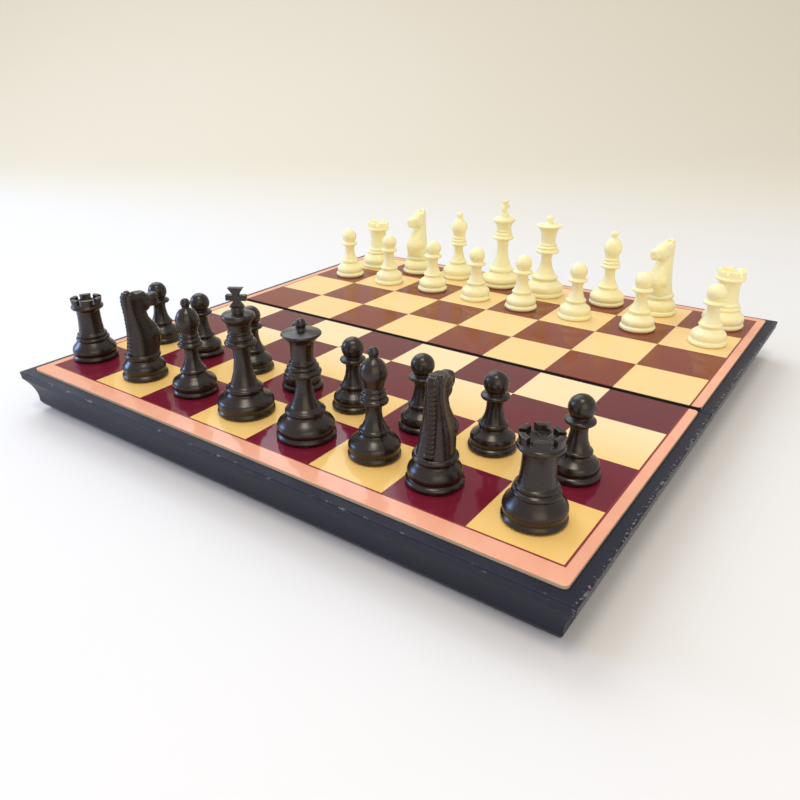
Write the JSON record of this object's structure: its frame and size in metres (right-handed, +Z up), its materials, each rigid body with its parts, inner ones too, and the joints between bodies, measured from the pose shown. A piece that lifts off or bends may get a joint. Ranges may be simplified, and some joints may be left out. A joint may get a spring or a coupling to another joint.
{
  "type": "folding travel chess set",
  "caption": "Folding travel chess set: two hinged trays with a printed playing panel on top, set up with magnetic turned chessmen.",
  "frame": {"origin": "on the table, under the middle of the open board", "axes": "+X along the near edge to the right, +Y from the near edge to the far one, +Z up"},
  "size_m": [0.245, 0.248, 0.0649],
  "materials": {
    "tray_plastic": "satin black moulded plastic, finely textured",
    "printed_gloss": "glossy printed squares, wine and cream, with a salmon border",
    "sheet_steel": "plain rolled steel",
    "pin_steel": "bright drawn steel",
    "magnet_nickel": "dull grey sintered magnet",
    "black_plastic": "satin black moulded plastic",
    "ivory_plastic": "satin ivory moulded plastic"
  },
  "bodies": {
    "near_half": {"near_tray": "tray_plastic", "near_playing_panel": "printed_gloss", "near_steel_sheet": "sheet_steel", "left_hinge_pin": "pin_steel", "right_hinge_pin": "pin_steel"},
    "far_half": {"far_tray": "tray_plastic", "far_playing_panel": "printed_gloss", "far_steel_sheet": "sheet_steel"},
    "black_king_man": {"black_king": "black_plastic", "black_king_magnet": "magnet_nickel"},
    "black_kingside_bishop_man": {"black_kingside_bishop": "black_plastic", "black_kingside_bishop_magnet": "magnet_nickel"},
    "black_kingside_knight_man": {"black_kingside_knight": "black_plastic", "black_kingside_knight_magnet": "magnet_nickel"},
    "black_kingside_rook_man": {"black_kingside_rook": "black_plastic", "black_kingside_rook_magnet": "magnet_nickel"},
    "white_king_man": {"white_king": "ivory_plastic", "white_king_magnet": "magnet_nickel"},
    "white_kingside_bishop_man": {"white_kingside_bishop": "ivory_plastic", "white_kingside_bishop_magnet": "magnet_nickel"},
    "white_kingside_knight_man": {"white_kingside_knight": "ivory_plastic", "white_kingside_knight_magnet": "magnet_nickel"},
    "white_kingside_rook_man": {"white_kingside_rook": "ivory_plastic", "white_kingside_rook_magnet": "magnet_nickel"},
    "black_queen_man": {"black_queen": "black_plastic", "black_queen_magnet": "magnet_nickel"},
    "black_queenside_bishop_man": {"black_queenside_bishop": "black_plastic", "black_queenside_bishop_magnet": "magnet_nickel"},
    "black_queenside_knight_man": {"black_queenside_knight": "black_plastic", "black_queenside_knight_magnet": "magnet_nickel"},
    "black_queenside_rook_man": {"black_queenside_rook": "black_plastic", "black_queenside_rook_magnet": "magnet_nickel"},
    "white_queen_man": {"white_queen": "ivory_plastic", "white_queen_magnet": "magnet_nickel"},
    "white_queenside_bishop_man": {"white_queenside_bishop": "ivory_plastic", "white_queenside_bishop_magnet": "magnet_nickel"},
    "white_queenside_knight_man": {"white_queenside_knight": "ivory_plastic", "white_queenside_knight_magnet": "magnet_nickel"},
    "white_queenside_rook_man": {"white_queenside_rook": "ivory_plastic", "white_queenside_rook_magnet": "magnet_nickel"},
    "black_pawn_1_man": {"black_pawn_1": "black_plastic"},
    "black_pawn_2_man": {"black_pawn_2": "black_plastic"},
    "black_pawn_3_man": {"black_pawn_3": "black_plastic"},
    "black_pawn_4_man": {"black_pawn_4": "black_plastic"},
    "black_pawn_5_man": {"black_pawn_5": "black_plastic"},
    "black_pawn_6_man": {"black_pawn_6": "black_plastic"},
    "black_pawn_7_man": {"black_pawn_7": "black_plastic"},
    "black_pawn_8_man": {"black_pawn_8": "black_plastic"},
    "white_pawn_1_man": {"white_pawn_1": "ivory_plastic"},
    "white_pawn_2_man": {"white_pawn_2": "ivory_plastic"},
    "white_pawn_3_man": {"white_pawn_3": "ivory_plastic"},
    "white_pawn_4_man": {"white_pawn_4": "ivory_plastic"},
    "white_pawn_5_man": {"white_pawn_5": "ivory_plastic"},
    "white_pawn_6_man": {"white_pawn_6": "ivory_plastic"},
    "white_pawn_7_man": {"white_pawn_7": "ivory_plastic"},
    "white_pawn_8_man": {"white_pawn_8": "ivory_plastic"}
  },
  "joints": [
    {"name": "fold", "type": "hinge", "parent": "near_half", "child": "far_half", "pos_m": [0, 0, 0.002], "axis": [-1, 0, 0], "range_deg": [0, 180]},
    {"name": "lift_black_king", "type": "slide", "parent": "near_half", "child": "black_king_man", "axis": [0, 0, 1], "range_m": [0, 0.06]},
    {"name": "lift_black_kingside_bishop", "type": "slide", "parent": "near_half", "child": "black_kingside_bishop_man", "axis": [0, 0, 1], "range_m": [0, 0.06]},
    {"name": "lift_black_kingside_knight", "type": "slide", "parent": "near_half", "child": "black_kingside_knight_man", "axis": [0, 0, 1], "range_m": [0, 0.06]},
    {"name": "lift_black_kingside_rook", "type": "slide", "parent": "near_half", "child": "black_kingside_rook_man", "axis": [0, 0, 1], "range_m": [0, 0.06]},
    {"name": "lift_white_king", "type": "slide", "parent": "far_half", "child": "white_king_man", "axis": [0, 0, 1], "range_m": [0, 0.06]},
    {"name": "lift_white_kingside_bishop", "type": "slide", "parent": "far_half", "child": "white_kingside_bishop_man", "axis": [0, 0, 1], "range_m": [0, 0.06]},
    {"name": "lift_white_kingside_knight", "type": "slide", "parent": "far_half", "child": "white_kingside_knight_man", "axis": [0, 0, 1], "range_m": [0, 0.06]},
    {"name": "lift_white_kingside_rook", "type": "slide", "parent": "far_half", "child": "white_kingside_rook_man", "axis": [0, 0, 1], "range_m": [0, 0.06]},
    {"name": "lift_black_queen", "type": "slide", "parent": "near_half", "child": "black_queen_man", "axis": [0, 0, 1], "range_m": [0, 0.06]},
    {"name": "lift_black_queenside_bishop", "type": "slide", "parent": "near_half", "child": "black_queenside_bishop_man", "axis": [0, 0, 1], "range_m": [0, 0.06]},
    {"name": "lift_black_queenside_knight", "type": "slide", "parent": "near_half", "child": "black_queenside_knight_man", "axis": [0, 0, 1], "range_m": [0, 0.06]},
    {"name": "lift_black_queenside_rook", "type": "slide", "parent": "near_half", "child": "black_queenside_rook_man", "axis": [0, 0, 1], "range_m": [0, 0.06]},
    {"name": "lift_white_queen", "type": "slide", "parent": "far_half", "child": "white_queen_man", "axis": [0, 0, 1], "range_m": [0, 0.06]},
    {"name": "lift_white_queenside_bishop", "type": "slide", "parent": "far_half", "child": "white_queenside_bishop_man", "axis": [0, 0, 1], "range_m": [0, 0.06]},
    {"name": "lift_white_queenside_knight", "type": "slide", "parent": "far_half", "child": "white_queenside_knight_man", "axis": [0, 0, 1], "range_m": [0, 0.06]},
    {"name": "lift_white_queenside_rook", "type": "slide", "parent": "far_half", "child": "white_queenside_rook_man", "axis": [0, 0, 1], "range_m": [0, 0.06]},
    {"name": "lift_black_pawn_1", "type": "slide", "parent": "near_half", "child": "black_pawn_1_man", "axis": [0, 0, 1], "range_m": [0, 0.06]},
    {"name": "lift_black_pawn_2", "type": "slide", "parent": "near_half", "child": "black_pawn_2_man", "axis": [0, 0, 1], "range_m": [0, 0.06]},
    {"name": "lift_black_pawn_3", "type": "slide", "parent": "near_half", "child": "black_pawn_3_man", "axis": [0, 0, 1], "range_m": [0, 0.06]},
    {"name": "lift_black_pawn_4", "type": "slide", "parent": "near_half", "child": "black_pawn_4_man", "axis": [0, 0, 1], "range_m": [0, 0.06]},
    {"name": "lift_black_pawn_5", "type": "slide", "parent": "near_half", "child": "black_pawn_5_man", "axis": [0, 0, 1], "range_m": [0, 0.06]},
    {"name": "lift_black_pawn_6", "type": "slide", "parent": "near_half", "child": "black_pawn_6_man", "axis": [0, 0, 1], "range_m": [0, 0.06]},
    {"name": "lift_black_pawn_7", "type": "slide", "parent": "near_half", "child": "black_pawn_7_man", "axis": [0, 0, 1], "range_m": [0, 0.06]},
    {"name": "lift_black_pawn_8", "type": "slide", "parent": "near_half", "child": "black_pawn_8_man", "axis": [0, 0, 1], "range_m": [0, 0.06]},
    {"name": "lift_white_pawn_1", "type": "slide", "parent": "far_half", "child": "white_pawn_1_man", "axis": [0, 0, 1], "range_m": [0, 0.06]},
    {"name": "lift_white_pawn_2", "type": "slide", "parent": "far_half", "child": "white_pawn_2_man", "axis": [0, 0, 1], "range_m": [0, 0.06]},
    {"name": "lift_white_pawn_3", "type": "slide", "parent": "far_half", "child": "white_pawn_3_man", "axis": [0, 0, 1], "range_m": [0, 0.06]},
    {"name": "lift_white_pawn_4", "type": "slide", "parent": "far_half", "child": "white_pawn_4_man", "axis": [0, 0, 1], "range_m": [0, 0.06]},
    {"name": "lift_white_pawn_5", "type": "slide", "parent": "far_half", "child": "white_pawn_5_man", "axis": [0, 0, 1], "range_m": [0, 0.06]},
    {"name": "lift_white_pawn_6", "type": "slide", "parent": "far_half", "child": "white_pawn_6_man", "axis": [0, 0, 1], "range_m": [0, 0.06]},
    {"name": "lift_white_pawn_7", "type": "slide", "parent": "far_half", "child": "white_pawn_7_man", "axis": [0, 0, 1], "range_m": [0, 0.06]},
    {"name": "lift_white_pawn_8", "type": "slide", "parent": "far_half", "child": "white_pawn_8_man", "axis": [0, 0, 1], "range_m": [0, 0.06]}
  ]
}
